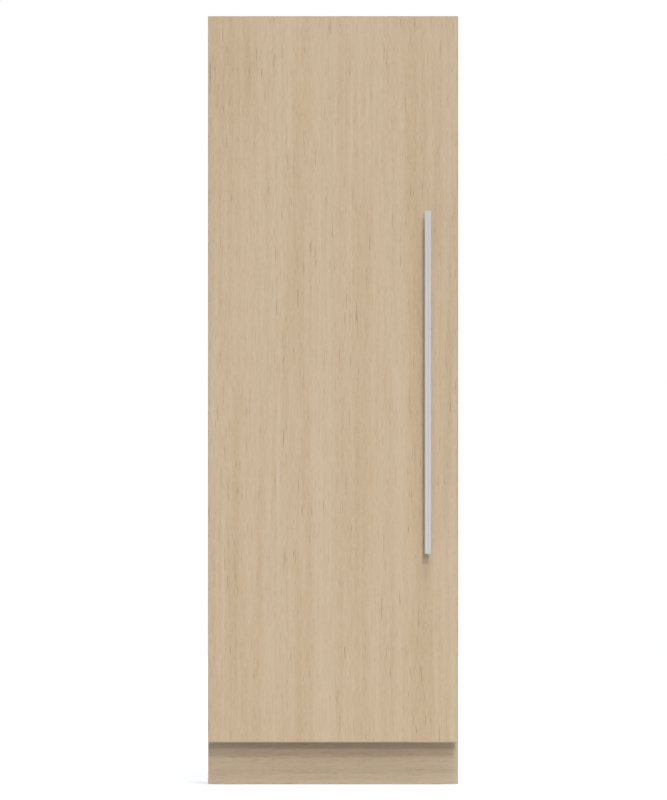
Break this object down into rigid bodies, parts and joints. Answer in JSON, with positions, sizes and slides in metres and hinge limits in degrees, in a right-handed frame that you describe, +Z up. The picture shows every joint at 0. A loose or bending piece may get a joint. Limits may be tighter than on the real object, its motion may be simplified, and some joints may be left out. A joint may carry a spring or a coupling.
{
  "type": "integrated freezer",
  "caption": "Tall built-in freezer behind an oak door panel, with a long bar handle, articulated side hinges, sliding drawers, glass shelves, ice maker and rear machine space.",
  "frame": {"origin": "on the floor, under the middle of the overall box", "axes": "+X to the right of someone who faces the door, +Y back into the freezer, +Z up"},
  "size_m": [0.61, 0.66, 1.874],
  "materials": {
    "oak_veneer": "matt lacquered oak veneer",
    "satin_steel": "satin brushed stainless steel",
    "painted_steel": "grey coated sheet steel",
    "galvanised": "galvanised sheet steel",
    "foam": "rigid polyurethane foam",
    "liner_white": "white moulded plastic",
    "clear_plastic": "clear moulded plastic",
    "shelf_glass": "toughened glass with a satin front trim",
    "grey_rubber": "soft grey magnetic seal",
    "black_plastic": "black moulded plastic",
    "grey_plastic": "grey moulded plastic",
    "coil_aluminium": "bare aluminium fins and tube",
    "black_enamel": "black enamelled steel"
  },
  "bodies": {
    "cabinet": {"left_side_panel": "painted_steel", "right_side_panel": "painted_steel", "top_panel": "painted_steel", "rear_panel": "galvanised", "bottom_pan": "galvanised", "front_flange": "painted_steel", "cabinet_insulation": "foam", "inner_liner": "liner_white", "left_side_moulding": "liner_white", "right_side_moulding": "liner_white", "lower_shelf": "shelf_glass", "upper_shelf": "shelf_glass", "evaporator_cover": "liner_white", "evaporator_coil": "coil_aluminium", "evaporator_fan_frame": "grey_plastic", "drain_tube": "grey_plastic", "base_tray": "galvanised", "toe_kick_rail": "galvanised", "toe_kick_panel": "oak_veneer", "compressor": "black_enamel", "drip_tray": "black_plastic", "condenser_coil": "black_enamel", "condenser_fan_frame": "grey_plastic", "control_box": "black_plastic", "machine_cover": "galvanised", "mains_inlet": "black_plastic", "control_panel": "grey_plastic", "ice_maker_housing": "grey_plastic", "top_hinge_plate": "galvanised", "bottom_hinge_plate": "galvanised"},
    "hinge_links": {"top_hinge_link": "galvanised", "bottom_hinge_link": "galvanised"},
    "door": {"door_panel": "oak_veneer", "panel_mounting_frame": "galvanised", "door_skin": "painted_steel", "door_insulation": "foam", "door_liner": "liner_white", "door_gasket": "grey_rubber", "handle_bar": "satin_steel", "lower_handle_post": "satin_steel", "upper_handle_post": "satin_steel", "top_hinge_leaf": "galvanised", "bottom_hinge_leaf": "galvanised"},
    "drawer_1": {"drawer_1_tub": "clear_plastic", "drawer_1_front": "clear_plastic"},
    "drawer_2": {"drawer_2_tub": "clear_plastic", "drawer_2_front": "clear_plastic"},
    "drawer_3": {"drawer_3_tub": "clear_plastic", "drawer_3_front": "clear_plastic"},
    "drawer_4": {"drawer_4_tub": "clear_plastic", "drawer_4_front": "clear_plastic"},
    "ice_bin": {"ice_bin": "clear_plastic"},
    "ice_tray": {"ice_tray": "grey_plastic"},
    "evaporator_fan": {"evaporator_fan": "black_plastic"},
    "condenser_fan": {"condenser_fan": "black_plastic"},
    "left_foot": {"left_foot": "black_plastic"},
    "left_roller": {"left_roller": "black_plastic"},
    "right_foot": {"right_foot": "black_plastic"},
    "right_roller": {"right_roller": "black_plastic"},
    "control_key": {"control_key": "satin_steel"}
  },
  "joints": [
    {"name": "hinge_link_swing", "type": "hinge", "parent": "cabinet", "child": "hinge_links", "pos_m": [-0.278, -0.175, 0.135], "axis": [0, 0, 1], "range_deg": [0, 25.31]},
    {"name": "door_swing", "type": "hinge", "parent": "hinge_links", "child": "door", "pos_m": [-0.29, -0.25, 0.135], "axis": [0, 0, -1], "range_deg": [0, 135.3]},
    {"name": "drawer_1_slide", "type": "slide", "parent": "cabinet", "child": "drawer_1", "axis": [0, -1, 0], "range_m": [0, 0.028]},
    {"name": "drawer_2_slide", "type": "slide", "parent": "cabinet", "child": "drawer_2", "axis": [0, -1, 0], "range_m": [0, 0.028]},
    {"name": "drawer_3_slide", "type": "slide", "parent": "cabinet", "child": "drawer_3", "axis": [0, -1, 0], "range_m": [0, 0.028]},
    {"name": "drawer_4_slide", "type": "slide", "parent": "cabinet", "child": "drawer_4", "axis": [0, -1, 0], "range_m": [0, 0.028]},
    {"name": "ice_bin_slide", "type": "slide", "parent": "cabinet", "child": "ice_bin", "axis": [0, -1, 0], "range_m": [0, 0.046]},
    {"name": "ice_tray_turn", "type": "hinge", "parent": "cabinet", "child": "ice_tray", "pos_m": [-0.148, 0.001, 1.7317], "axis": [0, 1, 0], "range_deg": [0, 165]},
    {"name": "evaporator_fan_spin", "type": "hinge", "parent": "cabinet", "child": "evaporator_fan", "pos_m": [0, 0.2243, 0.776], "axis": [0, -1, 0], "continuous": true},
    {"name": "condenser_fan_spin", "type": "hinge", "parent": "cabinet", "child": "condenser_fan", "pos_m": [0.101, 0.205, 0.1125], "axis": [1, 0, 0], "continuous": true},
    {"name": "left_foot_turn", "type": "hinge", "parent": "cabinet", "child": "left_foot", "pos_m": [-0.25, -0.145, 0], "axis": [0, 0, 1], "continuous": true},
    {"name": "right_foot_turn", "type": "hinge", "parent": "cabinet", "child": "right_foot", "pos_m": [0.25, -0.145, 0], "axis": [0, 0, 1], "continuous": true},
    {"name": "left_roller_turn", "type": "hinge", "parent": "cabinet", "child": "left_roller", "pos_m": [-0.25, 0.27, 0.018], "axis": [1, 0, 0], "continuous": true},
    {"name": "right_roller_turn", "type": "hinge", "parent": "cabinet", "child": "right_roller", "pos_m": [0.25, 0.27, 0.018], "axis": [1, 0, 0], "continuous": true},
    {"name": "control_key_press", "type": "slide", "parent": "cabinet", "child": "control_key", "axis": [0, 0, 1], "range_m": [0, 0.0012], "stiffness_N_per_m": 400, "springref_m": -0.002}
  ],
  "couplings": [
    {"joint": "hinge_link_swing", "follows": "door_swing", "ratio": 0.18699}
  ]
}
